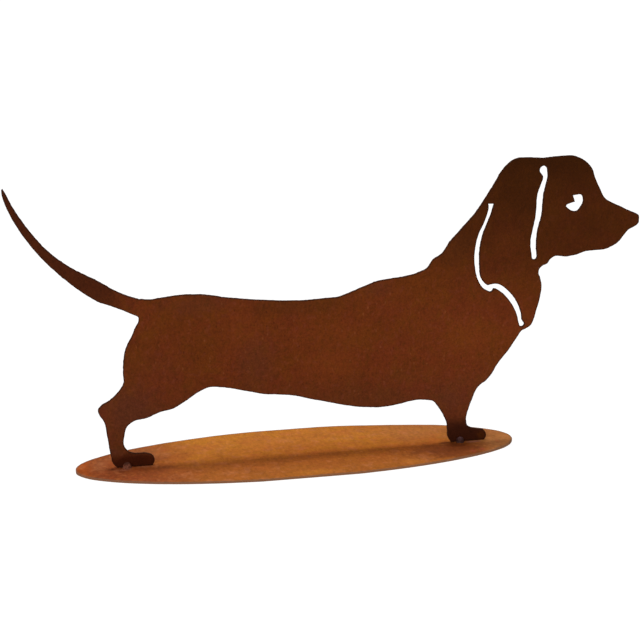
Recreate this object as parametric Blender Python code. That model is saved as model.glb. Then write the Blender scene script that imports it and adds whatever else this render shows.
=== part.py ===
"""Rusted steel dog silhouette on an oval base plate.

A long low dog is cut from one flat steel sheet, with open slots for its eye and its
two ears. It stands on its paws on a thin oval plate, and a weld tack in front of each
paw holds it there. Metres, +Z up. The origin is the middle of the base's underside,
+X runs towards the nose and -Y towards the viewer.
"""

import math

import bmesh
import bpy
from mathutils import Matrix, Vector
from mathutils.geometry import interpolate_bezier

# Driving sizes of the figure
FIGURE_LENGTH = 0.600
FIGURE_THICKNESS = 0.002
FIGURE_STEP_FORWARD = 0.005

# Widths of the torch-cut slots at their plain stretches
FRONT_EAR_SLOT_WIDTH = 0.0056
REAR_EAR_SLOT_WIDTH = 0.0045

# The base is as long as the paws' span and these margins
BASE_HEEL_MARGIN = 0.0332
BASE_TOE_MARGIN = 0.0275
BASE_WIDTH = 0.124
BASE_THICKNESS = 0.002
BASE_EDGES = 96

# Weld tacks
TACK_LENGTH = 0.0095
TACK_HEIGHT = 0.0056
TACK_DEPTH = 0.0048
TACK_EDGES = 20
TACK_RINGS = 12

# Air between pieces that touch
SEAT_GAP = 0.0003

# A facet lies no further than this from the curve that it stands for
CURVE_TOLERANCE = 0.00005
SLOT_END_FACETS = 8

# Edges that turn less than this are shaded smooth
SMOOTH_BELOW_DEGREES = 40.0

# Colours, metal share and roughness of the finishes
FIGURE_RUST = ((0.105, 0.024, 0.006), 0.3, 0.75)
BASE_RUST = ((0.40, 0.145, 0.025), 0.3, 0.75)
WELD_METAL = ((0.17, 0.09, 0.075), 0.9, 0.4)

# The outline is drawn in units of its own, about a thousandth of the figure's length,
# as x from the middle of the base and height above the soles. A stretch starts at a
# sharp corner or runs on smoothly from the one before.
SHARP = "sharp"
SMOOTH = "smooth"

TAIL_TOP = [
    (-440, 448.8), (-429, 423.6), (-410, 390.5), (-390, 363.5), (-369, 341.5),
    (-345, 323), (-312, 304.2), (-278, 282.7), (-253, 272), (-233, 268.8),
]
BACK = [
    (-205, 271.5), (-177, 273.5), (-145, 271.2), (-120, 266.3), (-80, 260.4),
    (-38, 256), (0, 253.8), (38, 254.8), (63, 256.6),
]
WITHERS = [
    (80, 262), (100, 269.8), (124, 278), (150, 281.3), (172, 284), (192, 289), (204.5, 295),
]
NAPE = [
    (212.5, 306.5), (228, 317.5), (240, 335), (258, 355), (279, 378), (300, 409),
]
CROWN = [
    (311, 426.5), (320, 443), (329, 453.2), (339, 461.2), (350, 464.4), (370, 464),
    (390, 462.6), (412, 464.2), (430, 465.6), (446, 462), (461, 453.5), (470, 443.5),
]
FOREHEAD = [(476, 428), (486, 408.5), (494, 394.5), (503, 388.3)]
MUZZLE = [
    (520, 380.5), (540, 370.7), (549.5, 366.8), (554.2, 363), (555, 357.5), (554, 352),
    (547.5, 346), (537, 341), (530, 333), (521, 321.5), (510, 315), (497, 310.6),
]
JAW = [(482, 310), (467, 309.2), (450, 304), (436, 302.1), (411, 302.1)]
THROAT = [
    (406.5, 298.5), (403, 292.6), (395.5, 289.3), (389.6, 284), (388.4, 278),
    (391.6, 269), (394.4, 257),
]
EAR_FRONT = [(393, 239), (388.6, 220), (383.2, 200), (378.8, 191), (370, 185.6), (364, 183)]
CHEST = [(357, 172.5), (341, 149), (326, 130), (316.5, 114), (307, 102), (295, 93.8)]
FORELEG_FRONT = [(290, 87), (283.5, 70), (277, 50), (275, 36)]
FORE_PAW = [(277.5, 26.3), (286, 21.2), (297, 19), (304.5, 17.2), (309.2, 10.5), (308.6, 3)]
FORE_SOLE = [(307, 0), (250.5, 0)]
FORELEG_BACK = [(245.5, 8), (243.8, 20), (243, 33), (237, 46), (227.5, 62), (219, 72.6)]
BELLY = [
    (205, 76), (183, 76), (160, 71.6), (133, 69), (106, 70.8), (80, 75), (48, 83.2),
    (15, 92), (-8, 98.7), (-35, 102.4), (-62, 105.7), (-85, 111.8), (-118, 119.6), (-144, 122.2),
]
GROIN = [
    (-159, 116.5), (-180, 103), (-200, 91.8), (-226, 85.5), (-243, 78.4), (-262, 75.2),
    (-273, 67), (-278.2, 51), (-279.4, 36),
]
HIND_PAW = [(-274, 26.5), (-262, 21.2), (-245, 20.6), (-236, 16.6), (-232.7, 10.3), (-234, 3)]
HIND_SOLE = [(-236, 0), (-290.5, 0)]
HEEL = [(-296.5, 6.5), (-299.8, 20)]
HOCK = [(-304, 52), (-309, 79), (-315.5, 90), (-316.8, 96), (-313, 102)]
THIGH = [(-298, 111.3), (-284, 124.5), (-276.3, 136)]
RUMP = [
    (-276, 155), (-274.2, 177), (-269.5, 196), (-259.5, 214), (-255, 225.5), (-249.4, 236),
]
TAIL_ROOT = [(-249.6, 242), (-256, 246)]
TAIL_UNDER = [
    (-270, 253), (-292, 263), (-311, 270.7), (-321, 277.6), (-341, 293), (-369, 319),
    (-398, 352.3), (-419, 384), (-434, 414.5), (-441.3, 438),
]
TAIL_TIP = [(-442.6, 447.4)]

OUTLINE = [
    (SHARP, TAIL_TOP), (SMOOTH, BACK), (SMOOTH, WITHERS), (SMOOTH, NAPE), (SMOOTH, CROWN),
    (SMOOTH, FOREHEAD), (SMOOTH, MUZZLE), (SMOOTH, JAW), (SMOOTH, THROAT),
    (SMOOTH, EAR_FRONT), (SMOOTH, CHEST), (SMOOTH, FORELEG_FRONT), (SMOOTH, FORE_PAW),
    (SHARP, FORE_SOLE[:1]), (SHARP, FORE_SOLE[1:]), (SMOOTH, FORELEG_BACK), (SMOOTH, BELLY),
    (SMOOTH, GROIN), (SMOOTH, HIND_PAW), (SHARP, HIND_SOLE[:1]), (SHARP, HIND_SOLE[1:]),
    (SMOOTH, HEEL), (SMOOTH, HOCK), (SMOOTH, THIGH), (SMOOTH, RUMP), (SMOOTH, TAIL_ROOT),
    (SMOOTH, TAIL_UNDER), (SHARP, TAIL_TIP),
]

# The eye is a crescent with three corners
EYE_LID = [(440.5, 401), (447, 402.2), (454, 401.8), (458.3, 393), (455, 383), (447.5, 375)]
EYE_UNDER = [(441, 375.8), (434, 379.5), (430, 385)]
EYE_INNER = [(436, 388.6), (444.5, 390.6)]
EYE = [(SHARP, EYE_LID), (SMOOTH, EYE_UNDER), (SHARP, EYE_INNER[:1]), (SHARP, EYE_INNER[1:])]

# Middle lines of the ear slots, each point with its width as a share of the slot's own
FRONT_EAR_LINE = [
    (389.8, 443.6, 1.42), (393.4, 434, 0.9), (390.5, 420, 0.95), (386.6, 405, 1.15),
    (385.4, 385, 1.1), (384.6, 370, 1.08), (380.6, 351, 0.92), (377.8, 330, 1.07),
    (379.4, 312, 0.95), (380.5, 304, 0.95),
]
REAR_EAR_UPPER_LINE = [
    (305.7, 393.5, 1.35), (305.2, 387, 0.95), (302.5, 376, 0.78), (296.4, 360, 0.82),
    (290.1, 345, 0.9), (286.7, 330, 1.03), (284.8, 311, 1.1), (286.2, 292, 1.0),
    (289.5, 275, 0.82), (295, 265, 0.9), (302, 258.2, 1.1), (309, 255.2, 1.3),
]
REAR_EAR_LOWER_LINE = [
    (303.5, 257.5, 0.95), (312, 259.5, 1.0), (320, 258.6, 1.14), (330, 252.6, 1.2),
    (344.5, 237.4, 1.2), (352.6, 225, 1.16), (358.9, 209.5, 0.97), (361.3, 198.5, 0.92),
    (363.8, 193.5, 1.15),
]

# Where the tacks sit along the figure, in the outline's units
HIND_TACK_AT = -275.5
FORE_TACK_AT = 265.5

# Sizes that follow
NOSE_REACH = max(x for x, z in MUZZLE)
TAIL_REACH = min(x for x, z in TAIL_TIP)
UNIT = FIGURE_LENGTH / (NOSE_REACH - TAIL_REACH)
HEEL_X = min(x for x, z in HEEL) * UNIT
TOE_X = max(x for x, z in FORE_PAW) * UNIT
BASE_LENGTH = TOE_X - HEEL_X + BASE_HEEL_MARGIN + BASE_TOE_MARGIN
FIGURE_SHIFT = -(TOE_X + BASE_TOE_MARGIN + HEEL_X - BASE_HEEL_MARGIN) / 2.0
SOLE_Z = BASE_THICKNESS + SEAT_GAP
CUTTER_THICKNESS = 3.0 * FIGURE_THICKNESS
NEAR_FACE_Y = -FIGURE_STEP_FORWARD - FIGURE_THICKNESS / 2.0


def clear_scene():
    """Remove whatever the scene holds."""
    for thing in list(bpy.data.objects):
        bpy.data.objects.remove(thing, do_unlink=True)


def material(name, finish):
    """A plain Principled material of a finish's colour, metal share and roughness."""
    colour, metallic, roughness = finish
    made = bpy.data.materials.new(name)
    made.use_nodes = True
    shader = made.node_tree.nodes["Principled BSDF"]
    shader.inputs["Base Color"].default_value = (*colour, 1.0)
    shader.inputs["Metallic"].default_value = metallic
    shader.inputs["Roughness"].default_value = roughness
    made.diffuse_color = (*colour, 1.0)
    return made


def heading(before, knot, after):
    """Unit direction of the curve at a knot that may have only one neighbour."""
    if before is None:
        return (after - knot).normalized()
    if after is None:
        return (knot - before).normalized()
    arriving = knot - before
    leaving = after - knot
    turned = arriving.normalized() * leaving.length + leaving.normalized() * arriving.length
    return turned.normalized()


def span_points(before, start, end, after):
    """Points on a smooth curve from start up to end, which is left out."""
    reach = (end - start).length / 3.0
    start_handle = start + heading(before, start, end) * reach
    end_handle = end - heading(start, end, after) * reach
    along = (end - start).normalized()
    bulges = []
    for handle in (start_handle - start, end_handle - end):
        bulges.append((handle - along * handle.dot(along)).length)
    facets = max(1, math.ceil(math.sqrt(max(bulges) / CURVE_TOLERANCE)))
    curve = interpolate_bezier(start, start_handle, end_handle, end, facets + 1)
    return [Vector(point) for point in curve[:-1]]


def placed(x, z):
    """A point of the outline in metres, in the sheet's own plane."""
    return Vector((x * UNIT + FIGURE_SHIFT, SOLE_Z + z * UNIT, 0.0))


def ring_points(stretches):
    """Closed ring of points through every stretch of an outline."""
    knots = []
    corners = []
    for start, points in stretches:
        for place, (x, z) in enumerate(points):
            knots.append(placed(x, z))
            corners.append(start == SHARP and place == 0)
    ring = []
    count = len(knots)
    for here in range(count):
        following = (here + 1) % count
        before = None if corners[here] else knots[here - 1]
        after = None if corners[following] else knots[(here + 2) % count]
        ring += span_points(before, knots[here], knots[following], after)
    return ring


def slot_points(line, width, round_start):
    """Closed ring of points round a slot, from its middle line and widths.

    The third number of a point on the run is the slot's width there. The start is
    square or round, and the end is always round.
    """
    knots = []
    for x, z, share in line:
        spot = placed(x, z)
        knots.append(Vector((spot.x, spot.y, share * width)))
    run = []
    for here in range(len(knots) - 1):
        before = knots[here - 1] if here > 0 else None
        after = knots[here + 2] if here + 2 < len(knots) else None
        run += span_points(before, knots[here], knots[here + 1], after)
    run.append(knots[-1])
    left = []
    right = []
    for here, spot in enumerate(run):
        back = run[max(here - 1, 0)]
        front = run[min(here + 1, len(run) - 1)]
        along = Vector((front.x - back.x, front.y - back.y, 0.0)).normalized()
        across = Vector((-along.y, along.x, 0.0)) * spot.z / 2.0
        middle = Vector((spot.x, spot.y, 0.0))
        left.append(middle + across)
        right.append(middle - across)
    ring = left + round_end(left[-1], right[-1]) + right[::-1]
    if round_start:
        ring += round_end(right[0], left[0])
    return ring


def round_end(start, end):
    """Half circle from start to end, turning clockwise, without its two ends."""
    centre = (start + end) / 2.0
    arm = start - centre
    return [
        centre + Matrix.Rotation(-math.pi * step / SLOT_END_FACETS, 3, "Z") @ arm
        for step in range(1, SLOT_END_FACETS)
    ]


def upright_plate(name, ring, thickness):
    """Plate of an outline, standing in the figure's plane and centred on it."""
    mesh = bpy.data.meshes.new(name)
    shape = bmesh.new()
    corners = []
    for point in ring:
        corners.append(shape.verts.new((point.x, -thickness / 2.0, point.y)))
    face = shape.faces.new(corners)
    pulled = bmesh.ops.extrude_face_region(shape, geom=[face])
    moved = [item for item in pulled["geom"] if isinstance(item, bmesh.types.BMVert)]
    bmesh.ops.translate(shape, verts=moved, vec=(0.0, thickness, 0.0))
    bmesh.ops.recalc_face_normals(shape, faces=shape.faces)
    shape.to_mesh(mesh)
    shape.free()
    plate = bpy.data.objects.new(name, mesh)
    plate.location.y = -FIGURE_STEP_FORWARD
    bpy.context.scene.collection.objects.link(plate)
    return plate


def cut_slot(plate, name, ring):
    """Cut a slot right through the plate."""
    cutter = upright_plate(name, ring, CUTTER_THICKNESS)
    cutter.hide_render = True
    cutter.display_type = "WIRE"
    cut = plate.modifiers.new(name, "BOOLEAN")
    cut.operation = "DIFFERENCE"
    cut.solver = "EXACT"
    cut.object = cutter


def build_dog(rust):
    """The figure, one sheet with an eye and two ears cut through it."""
    dog = upright_plate("dog_plate", ring_points(OUTLINE), FIGURE_THICKNESS)
    dog.data.materials.append(rust)
    front_ear = slot_points(FRONT_EAR_LINE, FRONT_EAR_SLOT_WIDTH, True)
    rear_ear_upper = slot_points(REAR_EAR_UPPER_LINE, REAR_EAR_SLOT_WIDTH, False)
    rear_ear_lower = slot_points(REAR_EAR_LOWER_LINE, REAR_EAR_SLOT_WIDTH, False)
    cut_slot(dog, "eye_cutter", ring_points(EYE))
    cut_slot(dog, "front_ear_cutter", front_ear)
    cut_slot(dog, "rear_ear_upper_cutter", rear_ear_upper)
    cut_slot(dog, "rear_ear_lower_cutter", rear_ear_lower)
    return dog


def build_base(rust):
    """The oval base plate, lying with its underside at height zero."""
    mesh = bpy.data.meshes.new("base_plate")
    shape = bmesh.new()
    bmesh.ops.create_circle(shape, cap_ends=True, segments=BASE_EDGES, radius=0.5)
    oval = Matrix.Diagonal((BASE_LENGTH, BASE_WIDTH, 1.0))
    for corner in shape.verts:
        corner.co = oval @ corner.co
    pulled = bmesh.ops.extrude_face_region(shape, geom=list(shape.faces))
    moved = [item for item in pulled["geom"] if isinstance(item, bmesh.types.BMVert)]
    bmesh.ops.translate(shape, verts=moved, vec=(0.0, 0.0, BASE_THICKNESS))
    bmesh.ops.recalc_face_normals(shape, faces=shape.faces)
    shape.to_mesh(mesh)
    shape.free()
    base = bpy.data.objects.new("base_plate", mesh)
    base.data.materials.append(rust)
    bpy.context.scene.collection.objects.link(base)
    return base


def build_tack(name, at, metal):
    """A weld tack in the corner between the sheet's near face and the base."""
    mesh = bpy.data.meshes.new(name)
    shape = bmesh.new()
    bmesh.ops.create_uvsphere(shape, u_segments=TACK_EDGES, v_segments=TACK_RINGS, radius=1.0)
    lump = Matrix.Diagonal((TACK_LENGTH / 2.0, TACK_DEPTH, TACK_HEIGHT))
    for corner in shape.verts:
        corner.co = lump @ corner.co
    for normal in ((0.0, 0.0, -1.0), (0.0, 1.0, 0.0)):
        cut = bmesh.ops.bisect_plane(
            shape, geom=shape.verts[:] + shape.edges[:] + shape.faces[:],
            plane_co=(0.0, 0.0, 0.0), plane_no=normal, clear_outer=True,
        )
        rim = [item for item in cut["geom_cut"] if isinstance(item, bmesh.types.BMEdge)]
        bmesh.ops.edgenet_fill(shape, edges=rim)
    bmesh.ops.recalc_face_normals(shape, faces=shape.faces)
    shape.to_mesh(mesh)
    shape.free()
    tack = bpy.data.objects.new(name, mesh)
    tack.location = (at * UNIT + FIGURE_SHIFT, NEAR_FACE_Y - SEAT_GAP, SOLE_Z)
    tack.data.materials.append(metal)
    bpy.context.scene.collection.objects.link(tack)
    return tack


def smooth_round_faces(piece):
    """Shade the piece's round faces smooth and keep its sharp edges."""
    piece.data.shade_smooth()
    piece.data.set_sharp_from_angle(angle=math.radians(SMOOTH_BELOW_DEGREES))


def main():
    """Build the sculpture."""
    clear_scene()
    weld_metal = material("weld_metal", WELD_METAL)
    pieces = [
        build_dog(material("figure_rust", FIGURE_RUST)),
        build_base(material("base_rust", BASE_RUST)),
        build_tack("weld_hind_paw", HIND_TACK_AT, weld_metal),
        build_tack("weld_fore_paw", FORE_TACK_AT, weld_metal),
    ]
    for piece in pieces:
        smooth_round_faces(piece)


main()
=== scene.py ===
"""Looks of a rusted steel dog silhouette that stands on an oval base plate.

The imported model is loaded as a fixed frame. Each of its solids is then stood for by a
finer piece: the torch-cut sheet of the dog, the hand-cut oval plate and the two weld
tacks. Metres, +Z up, with the origin in the middle of the base plate's underside.
"""

import logging
import math
from collections.abc import Callable
from dataclasses import dataclass
from enum import Enum

import bmesh
import bpy
from bmesh.types import BMEdge, BMesh, BMFace, BMVert
from mathutils import Matrix, Vector, noise
from mathutils.kdtree import KDTree


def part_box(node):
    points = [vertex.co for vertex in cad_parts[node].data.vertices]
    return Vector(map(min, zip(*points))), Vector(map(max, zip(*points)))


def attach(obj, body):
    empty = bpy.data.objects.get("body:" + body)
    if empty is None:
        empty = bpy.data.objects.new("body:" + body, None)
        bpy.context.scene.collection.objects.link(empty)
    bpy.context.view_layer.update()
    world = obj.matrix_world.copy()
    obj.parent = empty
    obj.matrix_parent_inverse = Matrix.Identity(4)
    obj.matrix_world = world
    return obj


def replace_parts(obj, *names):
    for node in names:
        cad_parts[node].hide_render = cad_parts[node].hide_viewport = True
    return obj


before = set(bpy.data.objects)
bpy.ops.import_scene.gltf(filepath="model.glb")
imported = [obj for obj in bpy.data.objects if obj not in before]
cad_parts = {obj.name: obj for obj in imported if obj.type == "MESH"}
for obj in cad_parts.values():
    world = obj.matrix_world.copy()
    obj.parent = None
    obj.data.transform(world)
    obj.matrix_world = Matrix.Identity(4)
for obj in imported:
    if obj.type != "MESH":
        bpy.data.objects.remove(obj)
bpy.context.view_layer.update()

MM = 0.001
BODY = "root"

# Vertices of the frame's loose triangles that are one point lie closer than this
SAME_POINT = 1e-6

# An edge lies on a line between cells when it is nearer to it than this share of a cell
ON_CELL_LINE = 0.001

# Numbers that a sheet's mesh carries: distance from its cut edge, and the way out of it
EDGE_LAYER = "edge_mm"
OUTWARD_LAYER = "outward"
EDGE_REACH_MM = 6.0

# Distances from the edge, in millimetres, between which a finish passes from the face to the cut wall
ON_WALL_MM = (0.1, 0.0)

# How ragged a stain's border is, and its place and reach through the sheet and the plate
STAIN_RAGGEDNESS = 1.2
RIGHT_THROUGH = 1.0
PLATE_TOP = 2.0 * MM
FADE_DOWN = 10.0 * MM

# Specular level of rust, which hardly shines
RUST_SPECULAR = 0.03

Triple = tuple[float, float, float]
Colour = tuple[float, float, float, float]
Paint = Colour | bpy.types.NodeSocket
log = logging.getLogger("dog_on_base")


class Slot(Enum):
    """Material slots of the record."""

    FIGURE = "figure_rust"
    BASE = "base_rust"
    WELD = "weld_metal"


class Node(Enum):
    """Solids of the frame."""

    DOG = "dog_plate"
    BASE = "base_plate"
    HIND_TACK = "weld_hind_paw"
    FORE_TACK = "weld_fore_paw"


def tone(red: float, green: float, blue: float) -> Colour:
    """Linear colour of a display colour.

    Args:
        red: Red, from 0 to 255.
        green: Green, from 0 to 255.
        blue: Blue, from 0 to 255.

    Returns:
        The linear colour with an alpha of one.
    """
    parts = []
    for level in (red, green, blue):
        share = level / 255.0
        low = share / 12.92
        high = ((share + 0.055) / 1.055) ** 2.4
        parts.append(low if share <= 0.04045 else high)
    return (parts[0], parts[1], parts[2], 1.0)


@dataclass(frozen=True)
class Waves:
    """Smooth noise that shapes a mesh.

    Attributes:
        size: Size of its waves.
        shift: Moves it on, so that two of them differ.
        octaves: Layers of finer detail.
        height: Height of the waves.
        floor: Share of the height that their hollows are cut off at.
    """

    size: float
    shift: float
    octaves: int
    height: float = 1.0
    floor: float = -math.inf

    def at(self, place: Vector) -> float:
        """Their height at a place, with a mean of zero if no hollow is cut off."""
        spot = place / self.size + Vector((self.shift, -self.shift, self.shift))
        return self.height * max(noise.fractal(spot, 1.0, 2.0, self.octaves), self.floor)


class Amount:
    """A number that varies over a surface, with arithmetic that adds Math nodes."""

    def __init__(self, recipe: "Recipe", socket: bpy.types.NodeSocket) -> None:
        """Wrap a socket of a recipe's tree."""
        self.recipe = recipe
        self.socket = socket

    def _math(self, operation: str, *terms: "Amount | float") -> "Amount":
        """Add a Math node on some terms."""
        made = self.recipe.node("ShaderNodeMath", {"operation": operation}, dict(enumerate(terms)))
        return Amount(self.recipe, made.outputs[0])

    def __add__(self, other: "Amount | float") -> "Amount":
        """Sum."""
        return self._math("ADD", self, other)

    def __radd__(self, other: float) -> "Amount":
        """Sum with a number first."""
        return self._math("ADD", other, self)

    def __sub__(self, other: "Amount | float") -> "Amount":
        """Difference."""
        return self._math("SUBTRACT", self, other)

    def __rsub__(self, other: float) -> "Amount":
        """Difference with a number first."""
        return self._math("SUBTRACT", other, self)

    def __mul__(self, other: "Amount | float") -> "Amount":
        """Product."""
        return self._math("MULTIPLY", self, other)

    def __rmul__(self, other: float) -> "Amount":
        """Product with a number first."""
        return self._math("MULTIPLY", other, self)

    def rise(self, start: float, end: float) -> "Amount":
        """Soft step from 0 at start to 1 at end, which may be the lower of the two.

        Args:
            start: Amount where the step begins.
            end: Amount where it is complete.

        Returns:
            The step, from 0 to 1.
        """
        inputs = {"Value": self, "From Min": min(start, end), "From Max": max(start, end)}
        made = self.recipe.node("ShaderNodeMapRange", {"interpolation_type": "SMOOTHSTEP"}, inputs)
        step = Amount(self.recipe, made.outputs["Result"])
        return step if end > start else 1.0 - step


@dataclass(frozen=True)
class Clouds:
    """A cloudy pattern, and what it does to a finish.

    Attributes:
        size: Size of its features in millimetres.
        shift: Moves it on, so that two patterns differ.
        detail: Octaves of finer detail.
        stretch: How many times longer its features are along each axis.
        distortion: How far it is warped.
        contrast: How much it lightens and darkens the colour.
        dulling: How much it raises and lowers the roughness.
        relief: Its share of the fine relief.
    """

    size: float
    shift: float = 0.0
    detail: float = 2.0
    stretch: Triple = (1.0, 1.0, 1.0)
    distortion: float = 0.0
    contrast: float = 0.0
    dulling: float = 0.0
    relief: float = 0.0


@dataclass(frozen=True)
class Flecks:
    """Scattered soft-edged flecks of a colour.

    Attributes:
        colour: Their colour.
        size: Mean distance in millimetres between the places where a fleck may be.
        share: Share of those places that have one.
        radius: Radius of a fleck as a share of size.
        stretch: How many times longer the flecks are along each axis.
        shift: Moves the pattern on.
        weight: How much of the colour shows on a fleck.
    """

    colour: Colour
    size: float
    share: float
    radius: float
    stretch: Triple
    shift: float
    weight: float


@dataclass(frozen=True)
class Coat:
    """A colour that shows where some amount has risen, or fallen.

    Attributes:
        colour: The colour.
        start: Amount where it begins to show.
        full: Amount where it shows in full, which may be the lower of the two.
        weight: How much of it shows there.
    """

    colour: Colour
    start: float
    full: float
    weight: float = 1.0


@dataclass(frozen=True)
class Relief:
    """Fine relief of a finish.

    Attributes:
        height: Its height in millimetres.
        strength: How much of it shows.
    """

    height: float
    strength: float


@dataclass(frozen=True)
class Stain:
    """A stain on a surface.

    Attributes:
        colour: Its colour.
        middle: Where it is.
        half: How far it reaches along each axis.
        strength: How strong it is in its middle.
    """

    colour: Colour
    middle: Triple
    half: Triple
    strength: float


def on_sheet(colour: Colour, across: float, up: float, wide: float, tall: float, strength: float) -> Stain:
    """Stain of the upright sheet, with its places and half sizes in millimetres."""
    return Stain(colour, (across * MM, 0.0, up * MM), (wide * MM, RIGHT_THROUGH, tall * MM), strength)


def on_plate(colour: Colour, across: float, back: float, wide: float, deep: float, strength: float) -> Stain:
    """Stain of the plate's top, with its places and half sizes in millimetres."""
    return Stain(colour, (across * MM, back * MM, PLATE_TOP), (wide * MM, deep * MM, FADE_DOWN), strength)


class Recipe:
    """A material while it is made."""

    def __init__(self, name: str) -> None:
        """Start an empty material of that name."""
        self.material = bpy.data.materials.new(name)
        self.material.use_nodes = True
        self.tree = self.material.node_tree
        self.tree.nodes.clear()
        self.place = self.node("ShaderNodeTexCoord").outputs["Object"]
        self.patterns: list[tuple[Amount, Clouds]] = []

    def node(self, kind: str, settings: dict | None = None, inputs: dict | None = None) -> bpy.types.Node:
        """Add a node.

        Args:
            kind: The node's type.
            settings: Its own settings, which are set first.
            inputs: Values or links of its sockets, by identifier, name or number.

        Returns:
            The node.
        """
        made = self.tree.nodes.new(kind)
        for name, value in (settings or {}).items():
            setattr(made, name, value)
        by_identifier = {socket.identifier: socket for socket in made.inputs}
        for key, value in (inputs or {}).items():
            socket = by_identifier.get(key) or made.inputs[key]
            if isinstance(value, Amount):
                value = value.socket
            if isinstance(value, bpy.types.NodeSocket):
                self.tree.links.new(value, socket)
            else:
                socket.default_value = value
        return made

    def axes(self) -> list[Amount]:
        """The place on the piece along X, Y and Z, in metres."""
        split = self.node("ShaderNodeSeparateXYZ", inputs={"Vector": self.place})
        return [Amount(self, socket) for socket in split.outputs]

    def attribute(self, name: str) -> Amount:
        """A number that the mesh carries."""
        settings = {"attribute_type": "GEOMETRY", "attribute_name": name}
        return Amount(self, self.node("ShaderNodeAttribute", settings).outputs["Fac"])

    def scaled_place(self, look: Clouds | Flecks) -> bpy.types.NodeSocket:
        """The place counted in a pattern's features, drawn out along the axes and moved on."""
        scale = [1.0 / (look.size * MM * share) for share in look.stretch]
        inputs = {"Vector": self.place, "Location": [look.shift] * 3, "Scale": scale}
        return self.node("ShaderNodeMapping", inputs=inputs).outputs["Vector"]

    def clouds(self, look: Clouds) -> Amount:
        """Read a cloudy pattern, and keep it for the light, the roughness and the relief.

        Args:
            look: The pattern.

        Returns:
            Its amount, from 0 to 1 with a mean of a half.
        """
        place = self.scaled_place(look)
        inputs = {"Vector": place, "Scale": 1.0, "Detail": look.detail, "Distortion": look.distortion}
        pattern = Amount(self, self.node("ShaderNodeTexNoise", inputs=inputs).outputs[0])
        self.patterns.append((pattern, look))
        return pattern

    def swayed(self, start: Amount | float, share: Callable[[Clouds], float]) -> Amount | float:
        """Move an amount up and down with the patterns that were read.

        Args:
            start: The amount.
            share: Picks how far each pattern moves it.

        Returns:
            The uneven amount.
        """
        for pattern, look in self.patterns:
            if share(look):
                start = start + (pattern - 0.5) * share(look)
        return start

    def blend(self, mask: Amount, under: Paint, over: Paint) -> bpy.types.NodeSocket:
        """Lay one colour over another where a mask is one.

        Args:
            mask: Where the upper colour shows.
            under: Lower colour or its socket.
            over: Upper colour or its socket.

        Returns:
            The mixed colour's socket.
        """
        inputs = {"Factor_Float": mask, "A_Color": under, "B_Color": over}
        mixed = self.node("ShaderNodeMix", {"data_type": "RGBA"}, inputs)
        return next(socket for socket in mixed.outputs if socket.identifier == "Result_Color")

    def lay(
        self, under: Paint, amount: Amount, coat: Coat, limit: Amount | float = 1.0
    ) -> bpy.types.NodeSocket:
        """Lay a coat over a colour.

        Args:
            under: The colour or its socket.
            amount: What the coat's steps are read from.
            coat: The coat.
            limit: Share of it that may show.

        Returns:
            The mixed colour's socket.
        """
        return self.blend(amount.rise(coat.start, coat.full) * (limit * coat.weight), under, coat.colour)

    def strew(self, under: Paint, flecks: Flecks) -> bpy.types.NodeSocket:
        """Strew flecks over a colour.

        Args:
            under: The colour or its socket.
            flecks: The flecks.

        Returns:
            The mixed colour's socket.
        """
        inputs = {"Vector": self.scaled_place(flecks), "Scale": 1.0}
        cells = self.node("ShaderNodeTexVoronoi", inputs=inputs)
        split = self.node("ShaderNodeSeparateColor", inputs={"Color": cells.outputs["Color"]})
        chosen = Amount(self, split.outputs[0]).rise(1.0 - flecks.share, 1.0 - 0.8 * flecks.share)
        near = Amount(self, cells.outputs["Distance"]).rise(flecks.radius, 0.4 * flecks.radius)
        return self.blend(chosen * near * flecks.weight, under, flecks.colour)

    def stain(self, under: Paint, stain: Stain, ragged: Amount) -> bpy.types.NodeSocket:
        """Stain a colour, most in the stain's middle and not at all past its edge.

        Args:
            under: The colour or its socket.
            stain: The stain.
            ragged: Pattern, from 0 to 1, that makes its edge uneven.

        Returns:
            The mixed colour's socket.
        """
        scale = [1.0 / reach for reach in stain.half]
        shift = [-place / reach for place, reach in zip(stain.middle, stain.half)]
        inputs = {"Vector": self.place, "Location": shift, "Scale": scale}
        place = self.node("ShaderNodeMapping", inputs=inputs).outputs["Vector"]
        length = self.node("ShaderNodeVectorMath", {"operation": "LENGTH"}, {0: place}).outputs["Value"]
        distance = Amount(self, length) + (ragged - 0.5) * STAIN_RAGGEDNESS
        return self.blend(distance.rise(1.0, 0.2) * stain.strength, under, stain.colour)

    def shaded(self, colour: bpy.types.NodeSocket, amount: Amount) -> bpy.types.NodeSocket:
        """A colour made brighter or darker by an amount."""
        inputs = {"Vector": colour, "Scale": amount}
        return self.node("ShaderNodeVectorMath", {"operation": "SCALE"}, inputs).outputs["Vector"]

    def finish(
        self,
        colour: bpy.types.NodeSocket,
        roughness: Amount | float,
        metallic: Amount | float,
        relief: Relief,
        specular: float,
    ) -> bpy.types.Material:
        """Close the recipe with its shader, whose fine relief comes from the patterns.

        Args:
            colour: Base colour.
            roughness: Roughness before the patterns move it.
            metallic: Metal share.
            relief: Height and strength of the fine relief.
            specular: Specular level, the same all over.

        Returns:
            The finished material.
        """
        height = self.swayed(0.0, lambda look: look.relief)
        inputs = {"Height": height, "Distance": relief.height * MM, "Strength": relief.strength}
        bump = self.node("ShaderNodeBump", inputs=inputs)
        inputs = {
            "Base Color": colour,
            "Roughness": self.swayed(roughness, lambda look: look.dulling),
            "Metallic": metallic,
            "Normal": bump.outputs["Normal"],
            "Specular IOR Level": specular,
        }
        shader = self.node("ShaderNodeBsdfPrincipled", inputs=inputs)
        self.node("ShaderNodeOutputMaterial", inputs={"Surface": shader.outputs["BSDF"]})
        return self.material


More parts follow.
